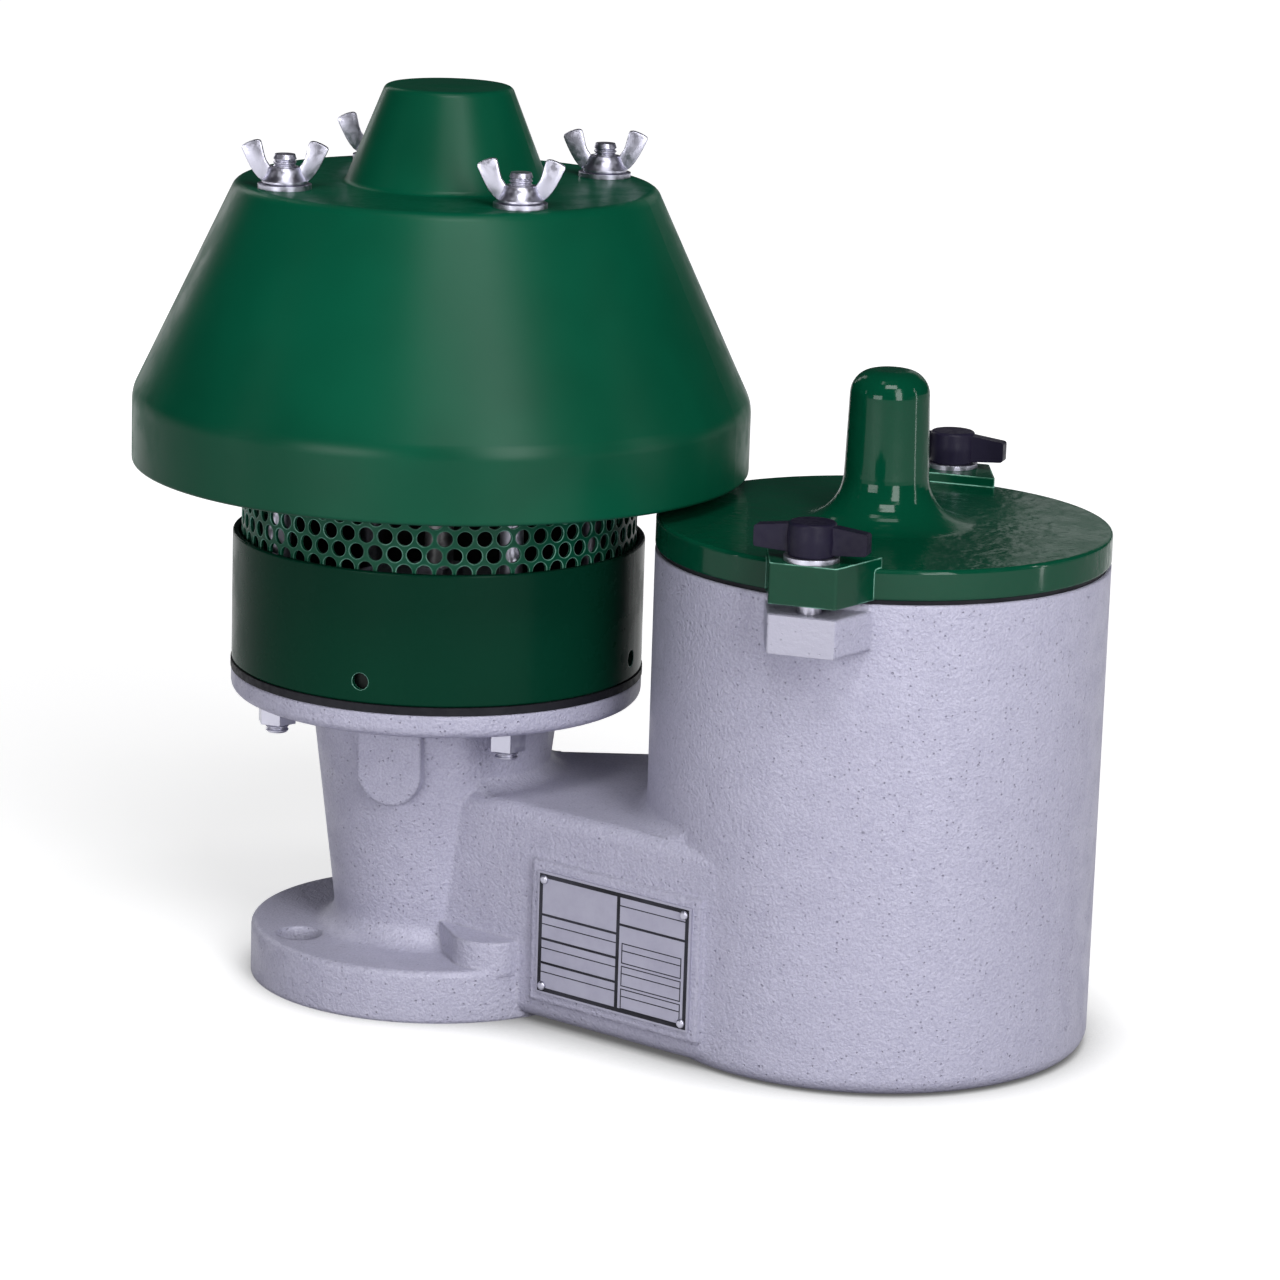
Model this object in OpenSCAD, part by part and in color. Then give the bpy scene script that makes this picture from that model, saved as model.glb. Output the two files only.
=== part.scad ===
// Tank breather valve: an end-of-line pressure and vacuum vent for a storage tank.
// Millimetres, +Z up. The origin is the centre of the tank flange's underside.
// The neck stands on the Z axis and the vacuum pot stands along +X.

/* [Tank flange] */
// Outside diameter of the tank flange, 2 inch class 150
flange_d = 152.4; // [148:0.1:158]
// Thickness of the tank flange
flange_t = 22; // [19:0.5:25]
// Bolt circle of the tank flange
bolt_circle_d = 120.65; // [118:0.05:123]
// Clearance holes on the side away from the pot
bolt_hole_d = 19.05; // [16:0.05:20]
// Tapped blind holes beside the bridge, 5/8 inch
tapped_hole_d = 15.875; // [12:0.005:16.5]
// Bore of the tank port
port_d = 52; // [46:1:54]

/* [Neck] */
// Neck diameter just above the tank flange
neck_foot_d = 80; // [76:1:84]
// Neck diameter under its top flange
neck_head_d = 105; // [100:1:108]
// Height of the neck's top face
neck_h = 133; // [128:1:140]
// Diameter of the neck's top flange
head_flange_d = 172; // [168:1:178]
// Thickness of the neck's top flange
head_flange_t = 10; // [9:0.5:12]

/* [Bridge and pot] */
// Distance between the neck axis and the pot axis
pot_pitch = 192; // [188:1:200]
// Outside diameter of the pot
pot_d = 184.4; // [180:0.2:188]
// Height of the pot's top face
pot_h = 200; // [196:1:203]
// Height of the bridge's flat top
bridge_h = 91; // [86:1:96]
// Angle between a bridge wall and the line of the two axes
bridge_flare = 19.5; // [19:0.25:20.5]
// Wall thickness of the casting
wall = 9; // [8:0.5:10]

/* [Drum and screen] */
// Thickness of the gasket under the drum
gasket_t = 3.3; // [2:0.1:5]
// Height of the drum
drum_h = 54.7; // [48:0.1:60]
// Wall thickness of the drum
drum_wall = 2.5; // [2:0.1:3]
// Diameter of the drum's weep holes
weep_hole_d = 7; // [4:0.5:9]
// Wall thickness of the perforated screen
screen_wall = 1.5; // [1:0.1:2]
// Diameter of the screen's holes
screen_hole_d = 6.4; // [4:0.1:6.8]
// Number of holes in each row of the screen
screen_holes = 64; // [48:4:66]

/* [Hood] */
// Outside diameter of the hood's skirt
hood_d = 256; // [248:1:264]
// Height of the hood from its rim to its flat top
hood_h = 117; // [112:1:124]
// Height of the straight skirt
skirt_h = 29; // [22:1:34]
// Open height between the drum and the hood's rim
vent_gap = 29; // [24:1:34]
// Diameter of the hood's flat top
hood_top_d = 173; // [170:1:178]
// Diameter of the guide boss at its foot
boss_foot_d = 84; // [78:1:90]
// Diameter of the guide boss at its top
boss_top_d = 52; // [48:1:58]
// Height of the guide boss
boss_h = 40; // [38:1:46]
// Wall thickness of the hood
hood_wall = 4; // [3:0.5:5]

/* [Cap] */
// Thickness of the gasket under the cap
cap_gasket_t = 1.8; // [1.2:0.1:2.4]
// Thickness of the cap's rim
cap_t = 12.2; // [11:0.1:14]
// Diameter of the cap's guide post
post_d = 33.6; // [31:0.2:37]
// Height of the guide post above the cap
post_h = 62; // [58:1:68]
// Width of a lug's front face
lug_w = 27; // [25:1:30]
// Distance that a lug stands out from the pot
lug_out = 20.8; // [19:0.1:24]
// Distance from the pot's wall out to a cap stud
stud_out = 9.8; // [9:0.1:11]

/* [Pallets] */
// Inside diameter of both seat rings
seat_d = 80; // [74:1:82]
// Diameter of both pallets
pallet_d = 108; // [102:1:112]
// Diameter of both pallet stems
stem_d = 12; // [10:0.5:13]
// Travel of the pressure pallet
pressure_lift = 20; // [14:1:22]
// Travel of the vacuum pallet
vacuum_lift = 18; // [12:1:20]
// Height of the inlet tube inside the pot
inlet_tube_h = 104; // [100:1:108]

/* [Fasteners] */
// Thread diameter of the tie rods and cap studs, 3/8 inch
rod_d = 9.525; // [8:0.005:10]
// Circle of the tie rods
rod_circle_d = 143.4; // [141:0.2:146]
// Span of a wing nut
wing_span = 35; // [32:1:40]
// Height of a wing nut
wing_h = 18.5; // [17:0.5:22]
// Span of a cap knob
knob_span = 45.6; // [42:0.2:54]
// Height of a cap knob
knob_h = 13.4; // [13:0.2:16]
// Thickness of the washers
washer_t = 2; // [1.5:0.1:2.5]

/* [Nameplate] */
// Length of the nameplate along the bridge wall
plate_l = 79; // [72:1:84]
// Height of the nameplate
plate_h = 52; // [46:1:56]

/* [Hidden] */
$fn = 96;

// Colours as the photo shows them
cast_grey = [0.66, 0.65, 0.73];
paint_green = [0.0, 0.3, 0.2];
zinc = [0.78, 0.78, 0.82];
black_plastic = [0.1, 0.09, 0.13];
black_rubber = [0.06, 0.06, 0.07];
bronze = [0.66, 0.5, 0.26];
stainless = [0.72, 0.73, 0.74];
seal_white = [0.9, 0.9, 0.88];

// Radial clearances: sliding and thread fits, pressed parts, seat rings, bolts in plain holes
run_fit = 0.06;
press_fit = 0.03;
seat_fit = 0.08;
hole_fit = 0.5;
// Overlap that carries a cut through a face
cut = 1;

// Levels along the neck axis
head_z = neck_h - head_flange_t;
drum_z = neck_h + gasket_t;
drum_floor_t = 3;
drum_top = drum_z + drum_h;
hood_z = drum_top + vent_gap;
hood_top = hood_z + hood_h;
boss_top = hood_top + boss_h;
drum_r = head_flange_d / 2 - 0.1;
screen_r = drum_r - drum_wall - 1.1;

// Levels along the pot axis
cap_z = pot_h + cap_gasket_t;
cap_top = cap_z + cap_t;
post_top = cap_top + post_h;
cap_lug_top = cap_top + 4;
body_lug_top = cap_z - 4.4;
body_lug_h = 15.2;
pot_r = pot_d / 2;
pot_bore_r = pot_r - wall;
lug_reach = pot_r + lug_out;
stud_reach = pot_r + stud_out;
pot_floor_t = 12;

// Bridge walls: straight lines that run into the pot just inside its tangent
wall_reach = pot_r - 0.4;
bridge_root = (wall_reach - pot_pitch * sin(bridge_flare)) / cos(bridge_flare);
bridge_edge_r = 6;
bridge_relief = 1.5;
foot_r = 7;
passage_floor = flange_t + 14;

// Tapped-hole bosses on the tank flange
hole_side = bolt_circle_d / 2 / sqrt(2);
tapped_boss_r = 16.5;
tapped_boss_foot = flange_t - 3;
tapped_boss_top = flange_t + 11.5;
tapped_boss_tail = 25;
tapped_hole_depth = flange_t + 5;

// Seats and pallet stacks
seat_lip_t = 3.2;
seat_ring_t = 6;
seat_foot_w = 10;
seat_ring_r = seat_d / 2 + seat_foot_w;
pressure_seat_rise = 17;
pressure_seat_top = neck_h + pressure_seat_rise;
vacuum_seat_rise = 8;
vacuum_seat_top = inlet_tube_h + vacuum_seat_rise;
inlet_tube_r = seat_d / 2 + wall;
seal_t = 1.5;
pallet_t = 4;
collar_t = 4;
weight_t = 13;
stem_nut_t = 8;
stem_r = stem_d / 2;
bush_r = stem_r + 3;
bush_h = 34;

// Guide bores end one free millimetre above the lifted stem
guide_roof = boss_top - hood_wall;
pressure_stem_top = guide_roof - pressure_lift - 1;
guide_hang = 8;
guide_foot = hood_top - guide_hang;
post_roof = post_top - 6;
vacuum_stem_top = post_roof - vacuum_lift - 1;

// Air inlet in the pot floor
inlet_recess_h = 7;
inlet_recess_r = inlet_tube_r + 4;
inlet_screen_t = 1.2;
inlet_ring_t = 2.5;
inlet_screw_land = 6.5;
inlet_screw_circle_r = seat_d / 2 + inlet_screw_land;
inlet_screws_n = 6;

// Fasteners
rod_r = rod_d / 2;
nut_flats = 14.3;
nut_t = 8.3;
rod_end = 4;
washer_r = 10.9;
wing_t = 3.2;
wing_nut_hub_h = 6.9;
wing_nut_foot_r = 9.2;
wing_nut_top_r = 6.6;
knob_r = 9.8;
knob_bore_h = knob_h - 3;
wing_nut_stud = wing_nut_hub_h + 5.1;

// Nameplate pad on the bridge's front wall
pad_margin = 4;
pad_t = 2;
plate_t = 1;
plate_s = 112.7;
plate_z = 41;
plate_screw_inset = 3.4;
plate_screw_r = 1.15;
plate_head_r = 1.9;

// Points of an arc of radius r that rounds the corner b between a and c
function arm(from, to) = (to - from) / norm(to - from);
function rounded_corner(a, b, c, r) =
    let (steps = max(5, round(r)))
    let (u = arm(b, a), v = arm(b, c), half = acos(u * v) / 2)
    let (centre = b + arm([0, 0], u + v) * r / sin(half))
    let (p = b + u * r / tan(half) - centre, q = b + v * r / tan(half) - centre)
    let (start = atan2(p[1], p[0]), turn = (atan2(q[1], q[0]) - start + 540) % 360 - 180)
    [for (i = [0:steps]) centre + r * [cos(start + turn * i / steps), sin(start + turn * i / steps)]];

// Closed outline from [x, y, corner radius] points
function flat(p) = [p[0], p[1]];
function outline(points) = [
    for (i = [0:len(points) - 1])
    let (n = len(points), b = points[i], a = points[(i + n - 1) % n], c = points[(i + 1) % n])
    each b[2] == 0 ? [flat(b)] : rounded_corner(flat(a), flat(b), flat(c), b[2])
];

// Solid of revolution from [radius, height, corner radius] points
module revolve(points) rotate_extrude() polygon(outline(points));

// Flat ring standing on z
module ring(z, h, outer, inner) {
    translate([0, 0, z]) difference() {
        cylinder(h = h, r = outer);
        translate([0, 0, -cut]) cylinder(h = h + 2 * cut, r = inner);
    }
}

// Upright hole
module hole(z, h, r) translate([0, 0, z]) cylinder(h = h, r = r);

// Places around the neck axis and the pot axis
module at_rods() for (angle = [45:90:315]) at_rod(angle) children();
module at_rod(angle) rotate(angle) translate([rod_circle_d / 2, 0, 0]) rotate(-angle) children();
module at_pot() translate([pot_pitch, 0, 0]) children();
module both_sides() for (side = [0, 1]) mirror([0, side, 0]) children();
module at_stud(side) translate([pot_pitch, side * stud_reach, 0]) children();

// Frame of the front bridge wall: +X along the wall, +Y into the casting
module on_wall() translate([0, -bridge_root, 0]) rotate(-bridge_flare) children();

// Body casting

module neck_solid() {
    revolve([
        [0, 0, 0], [flange_d / 2, 0, 0], [flange_d / 2, flange_t, 2.5], [neck_foot_d / 2, flange_t, 9],
        [neck_head_d / 2, head_z, 5], [head_flange_d / 2, head_z, 4], [head_flange_d / 2, neck_h, 0],
        [0, neck_h, 0]
    ]);
}

module pot_solid() {
    at_pot() revolve([
        [0, 0, 0], [pot_r, 0, foot_r], [pot_r, pot_h, 0], [0, pot_h, 0]
    ]);
}

// Plan of the bridge with its walls moved in by inset, from inside the neck to inside the pot
module bridge_plan(inset) {
    reach = wall_reach - inset;
    start = 8;
    end = pot_pitch - 15;
    start_w = (reach - (pot_pitch - start) * sin(bridge_flare)) / cos(bridge_flare);
    meet = [pot_pitch - reach * sin(bridge_flare), reach * cos(bridge_flare)];
    polygon([
        [start, -start_w], [meet[0], -meet[1]], [end, -start_w],
        [end, start_w], meet, [start, start_w]
    ]);
}

// Material outside a round of radius r, along the edge of the front wall at height h
module edge_round(h, r) {
    arc = rounded_corner([0, h - r], [0, h], [r, h], r);
    last = len(arc) - 1;
    run_in = 2 * arc[0] - arc[1];
    run_out = 2 * arc[last] - arc[last - 1];
    on_wall() rotate([90, 0, 90]) linear_extrude(pot_pitch)
        polygon([[-cut, h + cut], run_in, for (i = [1:last - 1]) arc[i], run_out]);
}

module bridge_solid() {
    difference() {
        translate([0, 0, bridge_relief]) linear_extrude(bridge_h - bridge_relief) bridge_plan(0);
        both_sides() {
            edge_round(bridge_h, bridge_edge_r);
            translate([0, 0, bridge_relief]) mirror([0, 0, 1]) edge_round(0, foot_r);
        }
    }
}

// Ring that fills the corner between the bridge top and a round wall
module foot_fillet(r, fill) {
    revolve([
        [r - 3, bridge_h - cut, 0], [r + fill + cut, bridge_h - cut, 0], [r + fill + cut, bridge_h, 0],
        [r, bridge_h, fill], [r, bridge_h + fill + cut, 0], [r - 3, bridge_h + fill + cut, 0]
    ]);
}

module bridge_fillets() {
    neck_r = neck_foot_d / 2 + (neck_head_d - neck_foot_d) / 2 * (bridge_h - flange_t) / (head_z - flange_t);
    sunk = 0.4;
    intersection() {
        union() {
            at_pot() foot_fillet(pot_r - sunk, 7);
            foot_fillet(neck_r - sunk, 9);
        }
        linear_extrude(neck_h) bridge_plan(bridge_edge_r - 2);
    }
}

// Bosses that carry the tapped flange holes: round over the hole, with a tail that fades into the wall
module tapped_bosses() {
    both_sides() on_wall() {
        centre = [hole_side * cos(bridge_flare) + (hole_side - bridge_root) * sin(bridge_flare),
            hole_side * sin(bridge_flare) - (hole_side - bridge_root) * cos(bridge_flare)];
        tail = centre - [tapped_boss_tail, centre[1] + 1.4];
        to_tail = tail - centre;
        side = atan2(to_tail[1], to_tail[0]) + acos((tapped_boss_r - 0.3) / norm(to_tail));
        shoulder = centre + (tapped_boss_r - 0.3) * [cos(side), sin(side)];
        translate([0, 0, tapped_boss_foot]) linear_extrude(tapped_boss_top - tapped_boss_foot) {
            translate(centre) circle(r = tapped_boss_r);
            polygon([tail, shoulder, centre, [centre[0], wall], [tail[0], wall]]);
        }
    }
}

// Flat tongues on the sides of the neck, hanging from its top flange
module neck_tongues() {
    tongue_r = 14;
    tongue_foot = head_z - 24;
    tongue_face = neck_head_d / 2 + 0.5;
    both_sides() translate([0, -tongue_face, 0]) rotate([-90, 0, 0]) linear_extrude(20) {
        translate([0, -tongue_foot]) circle(r = tongue_r);
        translate([-tongue_r, -head_z - cut]) square([2 * tongue_r, head_z + cut - tongue_foot]);
    }
}

// Lug outline: straight front face, sides that flare towards the pot
module lug_plan(inner) {
    spread = (lug_reach - inner) * tan(bridge_flare);
    polygon(outline([
        [-lug_w / 2, -lug_reach, 1.2], [lug_w / 2, -lug_reach, 1.2],
        [lug_w / 2 + spread, -inner, 0], [-lug_w / 2 - spread, -inner, 0]
    ]));
}

module body_lugs() {
    at_pot() both_sides() translate([0, 0, body_lug_top - body_lug_h])
        linear_extrude(body_lug_h) lug_plan(pot_bore_r + 2);
}

module nameplate_pad() {
    on_wall() translate([plate_s, 0, plate_z]) rotate([90, 0, 0])
        translate([-plate_l / 2 - pad_margin, -plate_h / 2 - pad_margin, -3])
        cube([plate_l + 2 * pad_margin, plate_h + 2 * pad_margin, pad_t + 3]);
}

module neck_void() {
    revolve([
        [0, -cut, 0], [port_d / 2, -cut, 0], [port_d / 2, passage_floor, 0], [seat_d / 2, head_z - 14, 0],
        [seat_d / 2, neck_h - seat_ring_t, 0], [seat_ring_r, neck_h - seat_ring_t, 0],
        [seat_ring_r, neck_h + cut, 0], [0, neck_h + cut, 0]
    ]);
}

module passage_void() {
    translate([0, 0, passage_floor]) linear_extrude(bridge_h - wall - passage_floor) bridge_plan(wall);
}

// Chamber of the pot around the inlet tube and above it
module pot_void() {
    ledge = inlet_tube_h - 4;
    at_pot() {
        revolve([
            [inlet_tube_r, pot_floor_t, 5], [pot_bore_r, pot_floor_t, 8], [pot_bore_r, pot_h + cut, 0],
            [0, pot_h + cut, 0], [0, inlet_tube_h, 0], [inlet_tube_r, inlet_tube_h, 0]
        ]);
        hole(ledge, 4 + cut, seat_d / 2 + 5);
        hole(-cut, inlet_tube_h, seat_d / 2);
        hole(-cut, inlet_recess_h + cut, inlet_recess_r);
    }
}

module flange_holes() {
    both_sides() {
        translate([-hole_side, -hole_side, 0]) hole(-cut, flange_t + 2 * cut, bolt_hole_d / 2);
        translate([hole_side, -hole_side, 0]) hole(-cut, tapped_hole_depth + cut, tapped_hole_d / 2);
    }
}

module nameplate_screw_places() {
    along = plate_l / 2 - plate_screw_inset;
    up = plate_h / 2 - plate_screw_inset;
    on_wall() translate([plate_s, -pad_t, plate_z]) rotate([90, 0, 0])
        for (x = [-along, along], y = [-up, up]) translate([x, y, 0]) children();
}

module inlet_screw_places() {
    at_pot() for (i = [0:inlet_screws_n - 1])
        rotate(i * 360 / inlet_screws_n) translate([inlet_screw_circle_r, 0, inlet_recess_h]) children();
}

module body_casting() {
    color(cast_grey) difference() {
        union() {
            neck_solid();
            pot_solid();
            bridge_solid();
            bridge_fillets();
            tapped_bosses();
            neck_tongues();
            body_lugs();
            nameplate_pad();
        }
        neck_void();
        passage_void();
        pot_void();
        flange_holes();
        at_rods() hole(head_z - cut, head_flange_t + 2 * cut, rod_r + hole_fit);
        for (side = [-1, 1]) at_stud(side)
            hole(body_lug_top - body_lug_h - cut, body_lug_h + 2 * cut, rod_r + press_fit);
        nameplate_screw_places() translate([0, 0, -6]) cylinder(h = 6 + cut, r = plate_screw_r + press_fit);
        inlet_screw_places() cylinder(h = 9, r = 2 + press_fit);
    }
}

// Pressure side

module neck_gasket() {
    color(black_rubber) difference() {
        ring(neck_h, gasket_t, head_flange_d / 2 + 0.3, seat_ring_r + 4);
        at_rods() hole(neck_h - cut, gasket_t + 2 * cut, rod_r + hole_fit);
    }
}

module drum() {
    floor_hole_r = seat_ring_r + 4;
    color(paint_green) difference() {
        revolve([
            [floor_hole_r, drum_z, 0], [drum_r, drum_z, 1.2], [drum_r, drum_top, 0.8],
            [drum_r - drum_wall, drum_top, 0.8], [drum_r - drum_wall, drum_z + drum_floor_t, 0],
            [floor_hole_r, drum_z + drum_floor_t, 0]
        ]);
        at_rods() hole(drum_z - cut, drum_floor_t + 2 * cut, rod_r + hole_fit);
        for (angle = [0:90:270]) rotate(angle) translate([drum_r - drum_wall - cut, 0, drum_z + 9])
            rotate([0, 90, 0]) cylinder(h = drum_wall + 2 * cut, r = weep_hole_d / 2);
    }
}

// Staggered round holes in the stretch of screen that the vent gap shows
module screen() {
    foot = drum_z + drum_floor_t;
    head = hood_top - hood_wall;
    step = 360 / screen_holes;
    row_rise = screen_r * step * PI / 180 * sqrt(3) / 2;
    rows = ceil(vent_gap / row_rise);
    inside = screen_r - screen_wall - cut;
    color(paint_green) difference() {
        ring(foot, head - foot, screen_r, screen_r - screen_wall);
        for (row = [0:rows - 1], i = [0:screen_holes - 1])
            rotate((i + row % 2 / 2) * step) translate([inside, 0, drum_top + row * row_rise])
                rotate([0, 90, 0]) cylinder(h = screen_wall + 2 * cut, r = screen_hole_d / 2);
    }
}

module hood() {
    inner_r = hood_d / 2 - hood_wall;
    slope_wall = hood_wall * 1.12;
    tube_r = bush_r + 5;
    color(paint_green) difference() {
        revolve([
            [bush_r + press_fit, guide_foot, 0], [tube_r, guide_foot, 0], [tube_r, guide_roof, 0],
            [boss_top_d / 2 - hood_wall, guide_roof, 0],
            [boss_foot_d / 2 - hood_wall, hood_top - hood_wall, 2],
            [hood_top_d / 2 - slope_wall / 2, hood_top - hood_wall, 0], [inner_r, hood_z + skirt_h - 2, 12],
            [inner_r, hood_z, 0], [hood_d / 2, hood_z, 1.5], [hood_d / 2, hood_z + skirt_h, 16],
            [hood_top_d / 2, hood_top, 5], [boss_foot_d / 2, hood_top, 3], [boss_top_d / 2, boss_top, 3],
            [0, boss_top, 0], [0, guide_roof, 0], [bush_r + press_fit, guide_roof, 0]
        ]);
        at_rods() hole(hood_top - hood_wall - cut, hood_wall + 2 * cut, rod_r + hole_fit);
    }
}

module tie_rods() {
    foot = head_z - nut_t - rod_end;
    color(zinc) at_rods() hole(foot, hood_top + washer_t + wing_nut_stud - foot, rod_r);
}

module tie_rod_nuts() {
    color(zinc) at_rods() difference() {
        translate([0, 0, head_z - nut_t]) cylinder(h = nut_t, d = nut_flats / cos(30), $fn = 6);
        hole(head_z - nut_t - cut, nut_t + 2 * cut, rod_r + press_fit);
    }
}

module flat_washer(z) ring(z, washer_t, washer_r, rod_r + hole_fit);

module hood_washer(angle) color(zinc) at_rod(angle) flat_washer(hood_top);

// One wing in the plane of its nut, from the hub out to a blunt tip
module wing_plan() {
    tip = wing_span / 2;
    root = wing_nut_top_r - 1;
    polygon(outline([
        [root, 0.8, 0], [root + 3.2, 0.8, 1.5], [tip, wing_h - 4.2, 2], [tip - 7.6, wing_h, 2.2],
        [root + 1.6, wing_nut_hub_h + 3.5, 4], [root, wing_nut_hub_h - 0.9, 0]
    ]));
}

module wing_nut(angle) {
    color(zinc) at_rod(angle) translate([0, 0, hood_top + washer_t]) difference() {
        union() {
            revolve([
                [0, 0, 0], [wing_nut_foot_r, 0, 0], [wing_nut_foot_r, 1.6, 0.7],
                [wing_nut_top_r, wing_nut_hub_h, 0.7], [0, wing_nut_hub_h, 0]
            ]);
            rotate(18) for (turn = [0, 180]) rotate(turn) rotate([90, 0, 0])
                translate([0, 0, -wing_t / 2]) linear_extrude(wing_t) wing_plan();
        }
        hole(-cut, wing_h + cut, rod_r + run_fit);
    }
}

module hood_washer_front_left() hood_washer(225);
module hood_washer_front_right() hood_washer(315);
module hood_washer_rear_right() hood_washer(45);
module hood_washer_rear_left() hood_washer(135);
module wing_nut_front_left() wing_nut(225);
module wing_nut_front_right() wing_nut(315);
module wing_nut_rear_right() wing_nut(45);
module wing_nut_rear_left() wing_nut(135);

// Seat ring: a pressed foot and a narrow raised lip that the seal meets
module seat_ring(foot, shoulder, foot_r, lip_top) {
    lip_r = seat_d / 2 + seat_lip_t;
    revolve([
        [seat_d / 2, foot, 0], [foot_r, foot, 0], [foot_r, shoulder, 0], [lip_r, shoulder, 2],
        [lip_r, lip_top, 0.8], [seat_d / 2, lip_top, 0.8]
    ]);
}

// Pallet stack on one stem, upwards from the seat: seal, pallet, weight and nut

module pallet(seat_top) {
    under = seat_top + seal_t;
    revolve([
        [stem_r + press_fit, under, 0], [pallet_d / 2 - 3, under, 0], [pallet_d / 2 - 3, seat_top - 4, 0],
        [pallet_d / 2, seat_top - 4, 0], [pallet_d / 2, under + pallet_t, 1.5],
        [stem_r + press_fit, under + pallet_t, 0]
    ]);
}

module seal(seat_top) ring(seat_top, seal_t, seat_d / 2 + 8, seat_d / 2 - 5);

module stem(seat_top, top) {
    under = seat_top + seal_t;
    revolve([
        [0, under - collar_t, 0], [stem_r + 6, under - collar_t, 1], [stem_r + 6, under, 0],
        [stem_r, under, 0], [stem_r, top, 1.5], [0, top, 0]
    ]);
}

module weight(seat_top) {
    under = seat_top + seal_t + pallet_t;
    revolve([
        [stem_r + press_fit, under, 0], [seat_d / 2 + 2, under, 1], [seat_d / 2 + 2, under + weight_t, 1.5],
        [stem_r + press_fit, under + weight_t, 0]
    ]);
}

module stem_nut(seat_top) {
    z = seat_top + seal_t + pallet_t + weight_t;
    difference() {
        translate([0, 0, z]) cylinder(h = stem_nut_t, d = 19 / cos(30), $fn = 6);
        hole(z - cut, stem_nut_t + 2 * cut, stem_r + press_fit);
    }
}

// Flanged bush that hangs in a guide bore from its mouth
module guide_bush(mouth) {
    revolve([
        [stem_r + run_fit, mouth - 3, 0], [bush_r + 4, mouth - 3, 0.8], [bush_r + 4, mouth, 0],
        [bush_r, mouth, 0], [bush_r, mouth + bush_h, 0], [stem_r + run_fit, mouth + bush_h, 0]
    ]);
}

module pressure_seat() {
    color(stainless) seat_ring(neck_h - seat_ring_t, neck_h, seat_ring_r - seat_fit, pressure_seat_top);
}
module pressure_pallet() color(stainless) pallet(pressure_seat_top);
module pressure_seal() color(seal_white) seal(pressure_seat_top);
module pressure_stem() color(stainless) stem(pressure_seat_top, pressure_stem_top);
module pressure_weight() color(zinc) weight(pressure_seat_top);
module pressure_stem_nut() color(zinc) stem_nut(pressure_seat_top);
module hood_bush() color(bronze) guide_bush(guide_foot);

// Vacuum side

// Round cap with a spigot below and the guide post above
module cap_solid() {
    spigot_r = pot_bore_r - 0.5;
    spigot_h = 6;
    post_r = post_d / 2;
    revolve([
        [bush_r + press_fit, cap_z, 0], [spigot_r - 5, cap_z, 3], [spigot_r - 5, cap_z - spigot_h, 0],
        [spigot_r, cap_z - spigot_h, 1], [spigot_r, cap_z, 0], [pot_r, cap_z, 1], [pot_r, cap_top, 1.5],
        [post_r + 1, cap_top, 20], [post_r - 1, post_top, 10], [0, post_top, 0], [0, post_roof, 0],
        [bush_r + press_fit, post_roof, 0]
    ]);
}

module cap() {
    color(paint_green) at_pot() difference() {
        union() {
            cap_solid();
            both_sides() translate([0, 0, cap_z])
                linear_extrude(cap_lug_top - cap_z) lug_plan(stud_reach - 17);
        }
        both_sides() translate([0, stud_reach, 0])
            hole(cap_z - cut, cap_lug_top - cap_z + 2 * cut, rod_r + hole_fit);
    }
}

module cap_gasket() color(black_rubber) at_pot() ring(pot_h, cap_gasket_t, pot_r - 1.5, pot_bore_r + 0.5);

module cap_studs() {
    foot = body_lug_top - body_lug_h - 2;
    top = cap_lug_top + washer_t + knob_bore_h - 1;
    color(zinc) for (side = [-1, 1]) at_stud(side) hole(foot, top - foot, rod_r);
}

module cap_washer(side) color(zinc) at_stud(side) flat_washer(cap_lug_top);

// Barrel hub with two tapered wings, closed on top
module cap_knob(side) {
    tip = knob_span / 2;
    wing_foot = 1;
    root = knob_r - 2.8;
    color(black_plastic) at_stud(side) translate([0, 0, cap_lug_top + washer_t]) difference() {
        union() {
            revolve([
                [0, 0, 0], [knob_r - 0.6, 0, 0.8], [knob_r, knob_h / 2, 12], [knob_r - 0.6, knob_h, 1.2],
                [0, knob_h, 0]
            ]);
            for (turn = [0, 180]) rotate(turn) rotate([90, 0, 0]) translate([0, 0, -3]) linear_extrude(6)
                polygon(outline([
                    [root, wing_foot, 0], [tip, wing_foot + 1, 1.2], [tip, knob_h - 3, 1.2],
                    [root, knob_h - 1, 0]
                ]));
        }
        hole(-cut, knob_bore_h + cut, rod_r + run_fit);
    }
}

module cap_washer_front() cap_washer(-1);
module cap_washer_rear() cap_washer(1);
module cap_knob_front() cap_knob(-1);
module cap_knob_rear() cap_knob(1);
module cap_bush() color(bronze) at_pot() guide_bush(cap_z);

module vacuum_seat() {
    color(stainless) at_pot()
        seat_ring(inlet_tube_h - 4, inlet_tube_h, seat_d / 2 + 5 - seat_fit, vacuum_seat_top);
}
module vacuum_pallet() color(stainless) at_pot() pallet(vacuum_seat_top);
module vacuum_seal() color(seal_white) at_pot() seal(vacuum_seat_top);
module vacuum_stem() color(stainless) at_pot() stem(vacuum_seat_top, vacuum_stem_top);
module vacuum_weight() color(zinc) at_pot() weight(vacuum_seat_top);
module vacuum_stem_nut() color(zinc) at_pot() stem_nut(vacuum_seat_top);

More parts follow.
